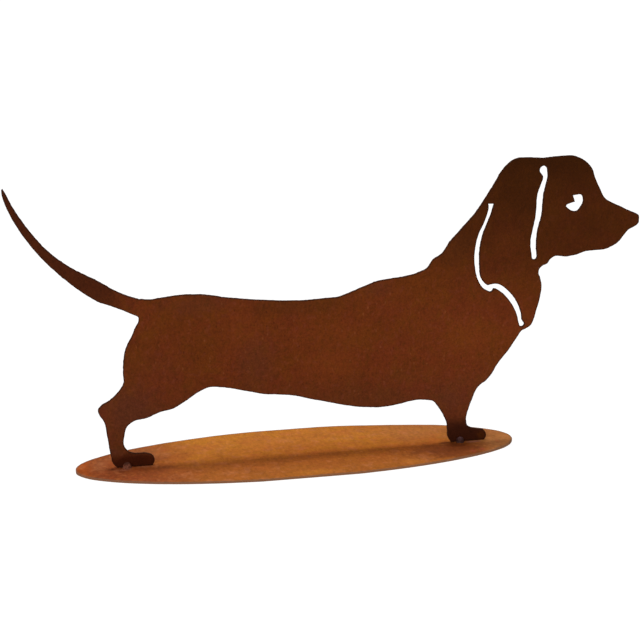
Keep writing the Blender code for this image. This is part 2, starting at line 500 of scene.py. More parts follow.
@dataclass(frozen=True)
class FigureRust:
    """Dark brown rust of the sheet, in soft patches, with a darker head and tail and scorched paws; the
    head's darkness is partly patina and partly painted shade.
    """

    # Patterns
    drift: Clouds = Clouds(36.0, detail=3.0)
    patches: Clouds = Clouds(15.0, 7.3, 4.0, (1.0, 1.0, 1.2), 0.4, contrast=0.35)
    runs: Clouds = Clouds(2.6, 3.1, 3.0, (1.0, 1.0, 2.6), contrast=0.30, relief=0.30)
    mottle: Clouds = Clouds(4.6, 17.3, 4.0, (1.0, 1.0, 1.2), 0.5)
    crumbs: Clouds = Clouds(1.8, 11.7, 3.0, contrast=0.75, dulling=0.3, relief=0.45)
    grain: Clouds = Clouds(0.45, 5.9, contrast=0.50, dulling=0.2, relief=0.25)
    drag: Clouds = Clouds(0.9, 2.2, stretch=(1.0, 6.0, 1.0))

    # Coats all over, read from the patterns
    brown: Colour = tone(96, 44, 12)
    red_brown: Coat = Coat(tone(99, 42, 16), 0.36, 0.66)
    olive_brown: Coat = Coat(tone(92, 45, 10), 0.48, 0.72, 0.65)
    rosy: Coat = Coat(tone(110, 52, 34), 0.52, 0.70, 0.35)
    moss: Coat = Coat(tone(82, 42, 10), 0.47, 0.32, 0.45)
    light_flecks: Flecks = Flecks(tone(124, 68, 38), 4.2, 0.22, 0.26, (1.0, 1.0, 1.8), 1.3, 0.35)
    dark_flecks: Flecks = Flecks(tone(66, 27, 9), 3.4, 0.25, 0.28, (1.0, 1.0, 1.8), 8.1, 0.45)

    # The darker head, tail and legs, read from the place in metres; the head is darker partly by patina and
    # partly by painted shade
    head: Colour = tone(48, 21, 3)
    head_lean: float = 0.3
    head_ramp: tuple[float, float] = (0.170, 0.280)
    head_weight: float = 0.69
    crown_ramp: tuple[float, float] = (0.225, 0.290)
    crown_weight: float = 0.27
    tail: Coat = Coat(tone(66, 28, 12), -0.148, -0.186, 0.85)
    above_legs: tuple[float, float] = (0.10, 0.15)
    shin: Coat = Coat(tone(70, 40, 34), 0.095, 0.040, 0.20)
    hind_scorch: Coat = Coat(tone(62, 23, 8), 0.018, 0.009, 0.92)
    fore_scorch: Coat = Coat(tone(51, 20, 9), 0.031, 0.016, 0.92)
    paws_apart: float = 0.05

    # How far the patterns push these borders to and fro
    head_raggedness: float = 0.05
    tail_raggedness: float = 0.03
    foot_raggedness: float = 0.010

    # Stains
    warm: Colour = tone(112, 53, 16)
    grey: Colour = tone(84, 42, 27)
    dusk: Colour = tone(76, 38, 12)
    stains: tuple[Stain, ...] = (
        on_sheet(warm, 29, 90, 38, 26, 0.32),
        on_sheet(warm, 30, 120, 54, 18, 0.20),
        on_sheet(warm, -54, 128, 28, 30, 0.22),
        on_sheet(warm, 164, 109, 36, 26, 0.28),
        on_sheet(warm, 201, 200, 22, 20, 0.15),
        on_sheet(grey, -41, 100, 26, 34, 0.36),
        on_sheet(grey, -96, 156, 48, 15, 0.30),
        on_sheet(grey, -138, 94, 46, 30, 0.12),
        on_sheet(grey, -160, 60, 34, 34, 0.50),
        on_sheet(grey, 148, 48, 20, 14, 0.30),
        on_sheet(grey, 74, 163, 24, 12, 0.26),
        on_sheet(grey, -176, 18, 10, 8, 0.60),
        on_sheet(dusk, 3, 152, 70, 16, 0.45),
        on_sheet(dusk, 154, 199, 22, 26, 0.45),
        # Stains of the head's colour: darker patina together with painted shade
        on_sheet(head, 212, 246, 36, 34, 0.40),
        on_sheet(head, 285, 216, 34, 22, 0.20),
        on_sheet(head, 160, 205, 16, 24, 0.15),
    )
    toe: Stain = on_sheet(tone(70, 33, 6), 180.5, 8, 7, 7, 0.80)

    # The dark line along the cut edges, and the cut walls, read from millimetres off the edge
    fringe: Coat = Coat(tone(46, 24, 15), 1.5, 0.15, 0.8)
    fringe_raggedness: float = 1.2
    wall_dark: Colour = tone(48, 28, 20)
    wall_light: Colour = tone(104, 66, 48)
    wall_mix: tuple[float, float] = (0.3, 0.7)
    wall_weight: float = 0.75

    nose_light: float = 0.32
    roughness: float = 0.74
    relief: Relief = Relief(0.35, 0.55)

    def material(self) -> bpy.types.Material:
        """Build the material."""
        recipe = Recipe("figure_rust")
        across, _, up = recipe.axes()
        drift = recipe.clouds(self.drift)
        patches = recipe.clouds(self.patches)
        mottle = recipe.clouds(self.mottle)
        crumbs = recipe.clouds(self.crumbs)
        recipe.clouds(self.runs)
        recipe.clouds(self.grain)

        rust = recipe.lay(self.brown, drift, self.red_brown)
        rust = recipe.lay(rust, patches, self.olive_brown)
        rust = recipe.lay(rust, mottle, self.rosy)
        rust = recipe.lay(rust, mottle, self.moss)
        rust = recipe.strew(rust, self.light_flecks)
        rust = recipe.strew(rust, self.dark_flecks)

        # Darker head and crown of the head: partly patina, partly painted shade
        height = up + (drift - 0.5) * self.head_raggedness
        head = (height + across * self.head_lean).rise(*self.head_ramp) * self.head_weight
        head = head + height.rise(*self.crown_ramp) * self.crown_weight
        rust = recipe.blend(head, rust, self.head)
        tail = across + (patches - 0.5) * self.tail_raggedness
        rust = recipe.lay(rust, tail, self.tail, up.rise(*self.above_legs))
        rust = recipe.lay(rust, height, self.shin)
        for stain in self.stains:
            rust = recipe.stain(rust, stain, patches)
        foot = up + (patches - 0.5) * self.foot_raggedness
        rust = recipe.lay(rust, foot, self.hind_scorch, across.rise(0.0, -self.paws_apart))
        rust = recipe.lay(rust, foot, self.fore_scorch, across.rise(0.0, self.paws_apart))
        rust = recipe.stain(rust, self.toe, patches)

        light = recipe.swayed(1.0 + across * self.nose_light, lambda look: look.contrast)
        rust = recipe.shaded(rust, light)
        edge = recipe.attribute(EDGE_LAYER)
        rust = recipe.lay(rust, edge + (crumbs - 0.5) * self.fringe_raggedness, self.fringe)
        wall = recipe.blend(recipe.clouds(self.drag).rise(*self.wall_mix), self.wall_dark, self.wall_light)
        rust = recipe.blend(edge.rise(*ON_WALL_MM) * self.wall_weight, rust, wall)
        return recipe.finish(rust, self.roughness, 0.0, self.relief, RUST_SPECULAR)


@dataclass(frozen=True)
class Band:
    """A band of colour along the line of the sheet, which is stronger towards the nose, used both for
    painted shade and for a drip line deepened with painted shadow.

    Attributes:
        colour: Its colour.
        behind: How far behind the sheet it begins, and where it is full.
        before: How far before the sheet it begins, and where it is full.
        gain: Where along X it begins to grow stronger, and where it is strongest.
        weight: How much of it shows before it grows.
        gained: How much more shows where it is strongest.
    """

    colour: Colour
    behind: tuple[float, float]
    before: tuple[float, float]
    gain: tuple[float, float]
    weight: float
    gained: float

    def lay(self, recipe: Recipe, under: Paint, off_sheet: Amount, across: Amount) -> bpy.types.NodeSocket:
        """Lay it over a colour.

        Args:
            recipe: The material being made.
            under: The colour or its socket.
            off_sheet: Distance along Y from the sheet's near face, positive behind it.
            across: Place along X.

        Returns:
            The mixed colour's socket.
        """
        shown = off_sheet.rise(*self.behind) * off_sheet.rise(*self.before)
        weight = self.weight + across.rise(*self.gain) * self.gained
        return recipe.blend(shown * weight, under, self.colour)


@dataclass(frozen=True)
class BaseRust:
    """Orange rust of the oval plate, redder to the left, darker and redder in front with painted shade, with
    painted shade along the sheet, and stained round the paws, with painted shadow of the head mixed in
    there.
    """

    # Patterns
    drift: Clouds = Clouds(30.0, 2.4, 3.0, (2.0, 1.0, 1.0), 0.4)
    patches: Clouds = Clouds(15.0, 6.6, 4.0, (1.3, 1.0, 1.0), 0.6, contrast=0.45)
    drawn: Clouds = Clouds(2.6, 4.8, 3.0, (1.0, 2.0, 1.0), contrast=0.64, relief=0.2)
    mottle: Clouds = Clouds(8.0, 14.2, 4.0, (1.2, 1.3, 1.0), 0.5)
    crumbs: Clouds = Clouds(2.0, 9.4, 3.0, contrast=0.48, dulling=0.3, relief=0.5)
    grain: Clouds = Clouds(0.45, 1.9, contrast=0.40, dulling=0.2, relief=0.3)

    # Coats all over, read from the patterns
    orange: Colour = tone(176, 106, 41)
    golden: Coat = Coat(tone(180, 112, 38), 0.38, 0.62)
    reddened: Coat = Coat(tone(164, 92, 42), 0.50, 0.68, 0.6)
    pale: Coat = Coat(tone(184, 112, 68), 0.52, 0.70, 0.45)
    red_hollows: Coat = Coat(tone(164, 92, 42), 0.48, 0.32, 0.50)
    light_flecks: Flecks = Flecks(tone(192, 122, 60), 3.4, 0.3, 0.30, (2.4, 1.2, 1.0), 3.7, 0.25)
    dark_flecks: Flecks = Flecks(tone(120, 62, 24), 3.0, 0.3, 0.30, (2.4, 1.2, 1.0), 8.8, 0.35)

    # Coats of its parts, read from the place in metres, and how ragged their borders are
    # The darker, redder front is painted shade in front of the sheet
    front: Coat = Coat(tone(154, 86, 36), 0.012, -0.036, 0.7)
    left: Coat = Coat(tone(132, 60, 38), -0.080, -0.180, 0.8)
    left_tip: Coat = Coat(tone(176, 82, 28), -0.196, -0.206, 0.62)
    right_tip: Coat = Coat(tone(164, 108, 62), 0.160, 0.196, 0.7)
    front_raggedness: float = 0.05
    left_raggedness: float = 0.07
    left_tip_raggedness: float = 0.01
    right_tip_raggedness: float = 0.03

    # The broad painted shade round the foot of the sheet, and the dark line where water drips from it,
    # deepened with painted shadow
    # Painted shade, darker towards the foot of the sheet on both sides of it
    shade: Band = Band(tone(124, 52, 2), (0.042, 0.006), (-0.050, -0.012), (-0.120, 0.0), 0.22, 0.14)
    # Rust where water drips from the sheet, deepened with painted shadow of the sheet
    drip_and_shadow: Band = Band(tone(104, 36, 0), (0.012, -0.002), (-0.026, -0.006), (-0.150, 0.130), 0.14, 0.18)
    band_raggedness: float = 0.008

    # Stains; some in front of the sheet and under the head are painted shade and shadow
    rosy: Colour = tone(150, 92, 58)
    amber: Colour = tone(186, 114, 40)
    russet: Colour = tone(98, 44, 26)
    scorch_and_shadow: Colour = tone(74, 28, 10)
    heated: Colour = tone(142, 86, 66)
    red: Colour = tone(150, 68, 46)
    stains: tuple[Stain, ...] = (
        on_plate(rosy, 128, 30, 62, 40, 0.42),
        on_plate(rosy, -150, 24, 34, 24, 0.45),
        on_plate(rosy, -190, 6, 12, 18, 0.40),
        on_plate(amber, 8, -54, 34, 10, 0.60),
        on_plate(amber, 100, -48, 18, 10, 0.40),
        on_plate(amber, -80, 48, 40, 10, 0.40),
        on_plate(amber, 20, 52, 50, 10, 0.30),
        # Under the head, before the fore paw: darker rust together with painted shadow of the head
        on_plate(russet, 148, -28, 54, 28, 0.62),
        # These two, in front of the sheet, are painted shade
        on_plate(russet, -150, -24, 44, 26, 0.12),
        on_plate(russet, -80, -22, 80, 26, 0.13),
        on_plate(russet, 192, 14, 36, 26, 0.26),
        # Scorch round the paws; this first one, before the fore paw, also carries painted shadow of the head
        on_plate(scorch_and_shadow, 156, -14, 18, 8, 0.45),
        on_plate(scorch_and_shadow, 145, -7, 10, 3.6, 0.55),
        on_plate(scorch_and_shadow, -181, -9.5, 5.5, 2.8, 0.50),
        on_plate(scorch_and_shadow, -171, -16.5, 4.5, 2.4, 0.50),
        on_plate(heated, 173, -9, 11, 3, 0.90),
        on_plate(heated, -149, -8.2, 13, 2, 0.60),
        on_plate(heated, -168, -12, 12, 4, 0.50),
        on_plate(red, 165, -32.6, 4.4, 5, 0.60),
        on_plate(red, 175, -30, 4.4, 5, 0.60),
        on_plate(red, 196, -12.6, 3.5, 7, 0.30),
    )

    # The dull line along the cut edge, and the cut wall, read from millimetres off the edge
    fringe: Coat = Coat(tone(118, 90, 70), 2.2, 0.2, 0.7)
    fringe_raggedness: float = 1.4
    wall: Colour = tone(124, 82, 54)
    wall_weight: float = 0.45
    wall_crumbs: float = 0.5

    roughness: float = 0.76
    relief: Relief = Relief(0.35, 0.5)

    def material(self, sheet_plane: float) -> bpy.types.Material:
        """Build the material.

        Args:
            sheet_plane: Place along Y of the near face of the sheet above the plate.

        Returns:
            The finished material.
        """
        recipe = Recipe("base_rust")
        across, back, _ = recipe.axes()
        drift = recipe.clouds(self.drift)
        patches = recipe.clouds(self.patches)
        mottle = recipe.clouds(self.mottle)
        crumbs = recipe.clouds(self.crumbs)
        recipe.clouds(self.drawn)
        recipe.clouds(self.grain)

        rust = recipe.lay(self.orange, drift, self.golden)
        rust = recipe.lay(rust, patches, self.reddened)
        # Painted shade in front of the sheet
        rust = recipe.lay(rust, back + (drift - 0.5) * self.front_raggedness, self.front)
        rust = recipe.lay(rust, across + (drift - 0.5) * self.left_raggedness, self.left)
        rust = recipe.lay(rust, across + (patches - 0.5) * self.left_tip_raggedness, self.left_tip)
        rust = recipe.lay(rust, mottle, self.pale)
        rust = recipe.lay(rust, mottle, self.red_hollows)
        off_sheet = back - sheet_plane + (patches - 0.5) * self.band_raggedness
        # Painted shade along the sheet, then the drip line with its painted shadow
        for band in (self.shade, self.drip_and_shadow):
            rust = band.lay(recipe, rust, off_sheet, across)
        rust = recipe.lay(rust, across + (drift - 0.5) * self.right_tip_raggedness, self.right_tip)
        for stain in self.stains:
            rust = recipe.stain(rust, stain, patches)
        rust = recipe.strew(rust, self.light_flecks)
        rust = recipe.strew(rust, self.dark_flecks)

        rust = recipe.shaded(rust, recipe.swayed(1.0, lambda look: look.contrast))
        edge = recipe.attribute(EDGE_LAYER)
        rust = recipe.lay(rust, edge + (crumbs - 0.5) * self.fringe_raggedness, self.fringe)
        wall = edge.rise(*ON_WALL_MM) * (self.wall_weight + crumbs * self.wall_crumbs)
        rust = recipe.blend(wall, rust, self.wall)
        return recipe.finish(rust, self.roughness, 0.0, self.relief, RUST_SPECULAR)


@dataclass(frozen=True)
class WeldMetal:
    """Weld metal under rust, darkened by oxide in its hollows and of another colour on its crown, which on
    the dark tack is a painted highlight.
    """

    name: str
    metal: Colour
    warm: Colour
    oxide: Colour
    # Colour laid on the top of the tack; on the dark tack it is a painted highlight
    crown: Colour
    lumps: Clouds = Clouds(1.8, 4.4, 3.0, relief=0.6)
    grain: Clouds = Clouds(0.35, 7.7, contrast=0.5, dulling=0.2, relief=0.4)
    scale: Clouds = Clouds(1.1, 12.1, 3.0)
    warm_ramp: tuple[float, float] = (0.40, 0.62)
    scale_ramp: tuple[float, float] = (0.46, 0.66)
    scale_weight: float = 0.8
    crown_ramp: tuple[float, float] = (0.0042, 0.0070)
    crown_raggedness: float = 0.003
    crown_weight: float = 0.9
    roughness: float = 0.50
    scale_roughness: float = 0.3
    metallic: float = 0.20
    specular: float = 0.2
    relief: Relief = Relief(0.2, 0.5)

    def material(self) -> bpy.types.Material:
        """Build the material."""
        recipe = Recipe(self.name)
        _, _, up = recipe.axes()
        lumps = recipe.clouds(self.lumps)
        recipe.clouds(self.grain)
        dull = recipe.clouds(self.scale).rise(*self.scale_ramp)
        metal = recipe.blend(lumps.rise(*self.warm_ramp), self.metal, self.warm)
        metal = recipe.blend(dull * self.scale_weight, metal, self.oxide)
        crown = (up + (lumps - 0.5) * self.crown_raggedness).rise(*self.crown_ramp)
        metal = recipe.blend(crown * self.crown_weight, metal, self.crown)
        metal = recipe.shaded(metal, recipe.swayed(1.0, lambda look: look.contrast))
        roughness = self.roughness + dull * self.scale_roughness
        return recipe.finish(metal, roughness, self.metallic * (1.0 - dull), self.relief, self.specular)


@dataclass(frozen=True)
class RimStep:
    """One ring of a rounded cut edge.

    Attributes:
        inset: How far inside the edge the ring runs.
        drop: How far below the face it lies.
    """

    inset: float
    drop: float


@dataclass
class CutSheet:
    """A torch-cut steel sheet, made lying down with its upper face at height zero.

    Attributes:
        thickness: Thickness of the sheet.
        cell: Width of the square cells that carry its relief.
        longest_edge: Longest stretch between two points of a cut edge.
        edge_drop: How far below the face the rounding ends and the wall begins.
        rim: Rings of the rounding, from the edge inwards.
        wall_depths: Depths of the wall's own rings.
    """

    thickness: float
    cell: float
    longest_edge: float
    edge_drop: float
    rim: tuple[RimStep, ...]
    wall_depths: tuple[float, ...]

    def make(self, shape: BMesh, wander: Callable[[Vector], float]) -> None:
        """Turn closed wire loops into the closed sheet.

        Args:
            shape: Mesh that holds the loops, lying at height zero.
            wander: How far inside its loop the torch ran at a place.
        """
        self.divide_loops(shape)
        self.wander_loops(shape, wander)
        strips = self.step_rim(shape)
        self.cut_cells(shape, strips)
        self.measure_from_edge(shape, strips)
        self.lower_rim(shape)
        self.pull_walls(shape)
        self.mirror_far_side(shape)

    def divide_loops(self, shape: BMesh) -> None:
        """Divide the stretches of the loops that are too long."""
        groups: dict[int, list[BMEdge]] = {}
        for edge in shape.edges:
            cuts = int(edge.calc_length() / self.longest_edge)
            groups.setdefault(cuts, []).append(edge)
        for cuts, edges in groups.items():
            if cuts:
                bmesh.ops.subdivide_edges(shape, edges=edges, cuts=cuts)

    def fill(self, shape: BMesh, loops: list[BMEdge]) -> list[BMFace]:
        """Fill loops with triangles that face up.

        Args:
            shape: Mesh that holds them.
            loops: Edges of the loops.

        Returns:
            The new faces.
        """
        filled = bmesh.ops.triangle_fill(shape, edges=loops, use_beauty=True, normal=(0.0, 0.0, 1.0))
        faces = [item for item in filled["geom"] if isinstance(item, BMFace)]
        for face in faces:
            if face.normal.z < 0.0:
                face.normal_flip()
        return faces

    def wander_loops(self, shape: BMesh, wander: Callable[[Vector], float]) -> None:
        """Find the way out at each point of the loops, and move the points in as the torch ran.

        Args:
            shape: Mesh that holds the loops.
            wander: How far inside its loop the torch ran at a place.
        """
        outward = shape.verts.layers.float_vector.new(OUTWARD_LAYER)
        loops = shape.edges[:]
        faces = self.fill(shape, loops)
        for point in shape.verts:
            point[outward] = way_out(point)
        kept = set(loops)
        bmesh.ops.delete(shape, geom=faces, context="FACES_ONLY")
        bmesh.ops.delete(shape, geom=[edge for edge in shape.edges if edge not in kept], context="EDGES")
        for point in shape.verts:
            point.co -= point[outward] * wander(point.co)

    def step_rim(self, shape: BMesh) -> set[BMFace]:
        """Lay the rounding's rings inside the edges.

        Args:
            shape: Mesh with the loops.

        Returns:
            The faces between the rings.
        """
        distance = shape.verts.layers.float.new(EDGE_LAYER)
        field = self.fill(shape, shape.edges[:])
        strips: set[BMFace] = set()
        reached = 0.0
        outer = set(shape.verts)
        for step in self.rim:
            made = bmesh.ops.inset_region(
                shape, faces=field, thickness=step.inset - reached, use_boundary=True, use_even_offset=True
            )
            ring = {point for face in made["faces"] for point in face.verts} - outer
            for point in ring:
                point[distance] = step.inset / MM
            outer |= ring
            strips |= set(made["faces"])
            reached = step.inset
        bmesh.ops.delete(shape, geom=field, context="FACES")
        innermost = [edge for edge in shape.edges if edge.is_boundary and edge.verts[0][distance] > 0.0]
        self.fill(shape, innermost)
        return strips

    def cut_cells(self, shape: BMesh, strips: set[BMFace]) -> None:
        """Cut the field inside the rim into square cells.

        Args:
            shape: Mesh of the face.
            strips: Faces of the rim, which stay as they are.
        """
        for axis in (1, 0):
            field = [face for face in shape.faces if face not in strips]
            reach = [point.co[axis] for point in shape.verts]
            first = math.ceil(min(reach) / self.cell)
            last = math.floor(max(reach) / self.cell)
            places = [line * self.cell for line in range(first, last + 1)]
            slice_faces(shape, field, axis, places)
            loose = []
            for edge in shape.edges:
                inside = len(edge.link_faces) == 2 and not strips.intersection(edge.link_faces)
                if inside and not self.on_line(edge):
                    loose.append(edge)
            bmesh.ops.dissolve_edges(shape, edges=loose, use_verts=True, use_face_split=False)

    def on_line(self, edge: BMEdge) -> bool:
        """Whether an edge lies on a line between cells."""
        start, end = edge.verts[0].co, edge.verts[1].co
        for axis in (0, 1):
            lines = start[axis] / self.cell
            level = abs(start[axis] - end[axis]) < SAME_POINT
            if level and abs(lines - round(lines)) < ON_CELL_LINE:
                return True
        return False

    def measure_from_edge(self, shape: BMesh, strips: set[BMFace]) -> None:
        """Give each point of the field its distance from the nearest cut edge."""
        distance = shape.verts.layers.float[EDGE_LAYER]
        edge_points = [point.co for point in shape.verts if point.is_boundary]
        tree = KDTree(len(edge_points))
        for number, place in enumerate(edge_points):
            tree.insert(place, number)
        tree.balance()
        for point in shape.verts:
            if not strips.intersection(point.link_faces):
                nearest = tree.find(point.co)[2] / MM
                point[distance] = min(max(nearest, self.rim[-1].inset / MM), EDGE_REACH_MM)

    def lower_rim(self, shape: BMesh) -> None:
        """Lower the rings of the rim into a rounded edge."""
        distance = shape.verts.layers.float[EDGE_LAYER]
        drops = {round(step.inset / MM, 3): step.drop for step in self.rim}
        drops[0.0] = self.edge_drop
        for point in shape.verts:
            point.co.z -= drops.get(round(point[distance], 3), 0.0)

    def pull_walls(self, shape: BMesh) -> None:
        """Pull the walls down to the middle of the sheet."""
        lip = [edge for edge in shape.edges if edge.is_boundary]
        for depth in (*self.wall_depths, self.thickness / 2.0):
            pulled = bmesh.ops.extrude_edge_only(shape, edges=lip)
            for item in pulled["geom"]:
                if isinstance(item, BMVert):
                    item.co.z = -depth
            lip = [item for item in pulled["geom"] if isinstance(item, BMEdge) and item.is_boundary]

    def mirror_far_side(self, shape: BMesh) -> None:
        """Mirror the half sheet on its middle, which closes it."""
        bmesh.ops.translate(shape, verts=shape.verts, vec=(0.0, 0.0, self.thickness / 2.0))
        everything = shape.verts[:] + shape.edges[:] + shape.faces[:]
        bmesh.ops.mirror(shape, geom=everything, axis="Z", merge_dist=SAME_POINT)
        bmesh.ops.translate(shape, verts=shape.verts, vec=(0.0, 0.0, -self.thickness / 2.0))
        bmesh.ops.recalc_face_normals(shape, faces=shape.faces)


def way_out(point: BMVert) -> Vector:
    """Direction out of a flat filled shape at a point of its border."""
    total = Vector()
    for edge in point.link_edges:
        if edge.is_boundary:
            along = edge.other_vert(point).co - point.co
            side = Vector((along.y, -along.x, 0.0)).normalized()
            inner = edge.link_faces[0].calc_center_median() - point.co
            total += -side if side.dot(inner) > 0.0 else side
    return total.normalized()


def outer_loop(shape: BMesh) -> set[BMVert]:
    """Points of the outer border loop, the one with the point furthest towards -X.

    Args:
        shape: Mesh of a flat filled shape.

    Returns:
        The points.
    """
    first = min((point for point in shape.verts if point.is_boundary), key=lambda point: point.co.x)
    loop = {first}
    front = [first]
    while front:
        point = front.pop()
        for edge in point.link_edges:
            other = edge.other_vert(point)
            if edge.is_boundary and other not in loop:
                loop.add(other)
                front.append(other)
    return loop


def slice_faces(shape: BMesh, faces: list[BMFace], axis: int, places: list[float]) -> None:
    """Cut flat faces along many parallel lines, halving the run of lines each time.

    Args:
        shape: Mesh that holds the faces.
        faces: The faces.
        axis: Axis that the lines stand across, 0 for X or 1 for Y.
        places: Where the lines are along that axis, in rising order.
    """
    if not places or not faces:
        return
    middle = len(places) // 2
    place = places[middle]
    spot, facing = Vector(), Vector()
    spot[axis], facing[axis] = place, 1.0
    edges = {edge for face in faces for edge in face.edges}
    points = {point for face in faces for point in face.verts}
    cut = bmesh.ops.bisect_plane(
        shape, geom=[*points, *edges, *faces], dist=SAME_POINT / 10.0, plane_co=spot, plane_no=facing
    )
    lower, upper = [], []
    for item in cut["geom"]:
        if isinstance(item, BMFace):
            side = lower if item.calc_center_median()[axis] < place else upper
            side.append(item)
    slice_faces(shape, lower, axis, places[:middle])
    slice_faces(shape, upper, axis, places[middle + 1:])


def add_piece(name: str, shape: BMesh, material: bpy.types.Material) -> bpy.types.Object:
    """Make a finished piece of a mesh, and let it ride on the sculpture.

    Args:
        name: The piece's name.
        shape: Its mesh, in place, which is freed.
        material: Its finish.

    Returns:
        The piece.
    """
    mesh = bpy.data.meshes.new(name)
    triangles = sum(len(face.verts) - 2 for face in shape.faces)
    open_edges = sum(1 for edge in shape.edges if not edge.is_manifold)
    shape.to_mesh(mesh)
    shape.free()
    mesh.materials.append(material)
    mesh.shade_smooth()
    piece = bpy.data.objects.new(name, mesh)
    bpy.context.scene.collection.objects.link(piece)
    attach(piece, BODY)
    log.info("%s: %d triangles, %d open edges", name, triangles, open_edges)
    return piece


@dataclass(frozen=True)
class Nick:
    """A small dent in the figure's outline, where the torch slipped.

    Attributes:
        across: Its place along X.
        up: Its height.
        width: Its half width.
        depth: Its depth.
    """

    across: float
    up: float
    width: float
    depth: float

    def depth_at(self, place: Vector) -> float:
        """How deep it is at a place on the sheet, which lies flat."""
        away = math.hypot(place.x - self.across, place.y - self.up) / self.width
        return self.depth * math.exp(-away * away)


@dataclass
class DogSheet:
    """The figure, one steel sheet cut by hand with a torch.

    Attributes:
        cell: Width of the cells that carry the sheet's relief.
        longest_edge: Longest stretch between two points of its cut edges.
        join_below: Corner points closer than this are melted into one.
        wander: Furthest that the torch ran inside the drawn line.
        sway: Slow part of that wander, as a share of it.
        jitter: Quick part of it.
        roll: The sheet's broad unevenness.
        crust: The rust scale.
        run: The upright runs.
        run_length: How many times longer than wide they are.
        bead: The slag beads along the far edges.
        bead_reach: How far in from an edge they lie, in millimetres.
        bead_start: Share of the thickness below which they begin.
        bead_spread: How far they swell outwards, as a share of their height.
        drag: The drag lines in the cut walls.
        far_side: Moves the patterns on for the far face.
        foot: Height up to which the soles are drawn down to the base.
        growth: How far the outline is moved out before its edge is rounded.
        slot_growth: How far the edges of the slots are moved in before they are.
        nicks: Where the torch slipped.
    """

    cell: float = 1.8 * MM
    longest_edge: float = 1.0 * MM
    join_below: float = 0.5 * MM
    wander: float = 0.45 * MM
    sway: Waves = Waves(9 * MM, 2.0, 3, 0.5)
    jitter: Waves = Waves(2.6 * MM, 5.0, 2, 0.3)
    roll: Waves = Waves(60 * MM, 1.0, 2, 0.10 * MM)
    crust: Waves = Waves(6 * MM, 3.0, 3, 0.11 * MM, -0.15)
    run: Waves = Waves(3.4 * MM, 7.0, 2, 0.05 * MM)
    run_length: float = 5.0
    bead: Waves = Waves(2.6 * MM, 4.0, 2, 0.45 * MM, 0.0)
    bead_reach: float = 0.5
    bead_start: float = 0.8
    bead_spread: float = 0.4
    drag: Waves = Waves(1.6 * MM, 9.0, 2, 0.07 * MM)
    far_side: float = 0.05
    foot: float = 3.5 * MM
    growth: float = 0.40 * MM
    slot_growth: float = 0.36 * MM
    nicks: tuple[Nick, ...] = (
        Nick(-0.1490, 0.1653, 1.3 * MM, 0.55 * MM),
        Nick(-0.0728, 0.1628, 1.0 * MM, 0.40 * MM),
        Nick(-0.1887, 0.1677, 1.4 * MM, 0.50 * MM),
        Nick(-0.2324, 0.2192, 1.2 * MM, 0.45 * MM),
        Nick(-0.1748, 0.1781, 1.2 * MM, 0.40 * MM),
    )

    def __post_init__(self) -> None:
        """Take the sheet's places from the frame."""
        low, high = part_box(Node.DOG.value)
        self.low = (low.x, low.z)
        self.high = (high.x, high.z)
        self.near_face = low.y
        self.sole = low.z
        self.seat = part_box(Node.BASE.value)[1].z
        self.thickness = high.y - low.y

    def build(self, material: bpy.types.Material) -> bpy.types.Object:
        """Build the sheet.

        Args:
            material: Its rust.

        Returns:
            The finished piece.
        """
        shape = self.outline()
        sheet = CutSheet(
            thickness=self.thickness,
            cell=self.cell,
            longest_edge=self.longest_edge,
            edge_drop=0.36 * MM,
            rim=(
                RimStep(0.10 * MM, 0.16 * MM),
                RimStep(0.28 * MM, 0.04 * MM),
                RimStep(0.55 * MM, 0.0),
            ),
            wall_depths=(0.68 * MM,),
        )
        sheet.make(shape, self.torch_wander)
        self.roughen(shape)
        stand_up = Matrix.Rotation(math.pi / 2.0, 4, "X") @ Matrix.Translation((0.0, 0.0, -self.near_face))
        bmesh.ops.transform(shape, matrix=stand_up, verts=shape.verts)
        piece = add_piece("dog_sheet", shape, material)
        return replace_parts(piece, Node.DOG.value)

    def outline(self) -> BMesh:
        """The loops of the sheet's near face, laid down flat.

        Returns:
            Mesh that holds them as edges alone.
        """
        shape = bmesh.new()
        shape.from_mesh(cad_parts[Node.DOG.value].data)
        bmesh.ops.remove_doubles(shape, verts=shape.verts, dist=SAME_POINT)
        others = [face for face in shape.faces if face.normal.y > -0.99]
        bmesh.ops.delete(shape, geom=others, context="FACES")
        lay_down = Matrix.Translation((0.0, 0.0, self.near_face)) @ Matrix.Rotation(-math.pi / 2.0, 4, "X")
        bmesh.ops.transform(shape, matrix=lay_down, verts=shape.verts)
        self.grow(shape)
        inner = [edge for edge in shape.edges if not edge.is_boundary]
        bmesh.ops.delete(shape, geom=shape.faces[:], context="FACES_ONLY")
        bmesh.ops.delete(shape, geom=inner, context="EDGES")
        bmesh.ops.remove_doubles(shape, verts=shape.verts, dist=self.join_below)
        return shape

    def grow(self, shape: BMesh) -> None:
        """Move the cut edges out into the air by the width of the torch's rounding.

        Args:
            shape: Mesh of the near face, lying flat.
        """
        outer = outer_loop(shape)
        ways = {point: way_out(point) for point in shape.verts if point.is_boundary}
        for point, way in ways.items():
            reach = self.slot_growth
            if point in outer:
                room = [self.growth]
                for axis in (0, 1):
                    limit = self.high[axis] if way[axis] > 0.0 else self.low[axis]
                    room.append(0.5 * abs(limit - point.co[axis]) / max(abs(way[axis]), 0.1))
                reach = min(room) * self.above_foot(point.co.y)
            point.co += way * reach

    def above_foot(self, height: float) -> float:
        """Share, from 0 at the soles to 1 above the foot."""
        return min(max((height - self.sole) / self.foot, 0.0), 1.0)

    def torch_wander(self, place: Vector) -> float:
        """How far inside the drawn line the torch ran at a place."""
        share = 0.5 + self.sway.at(place) + self.jitter.at(place)
        slip = sum(nick.depth_at(place) for nick in self.nicks)
        return (self.wander * min(max(share, 0.0), 1.0) + slip) * self.above_foot(place.y)

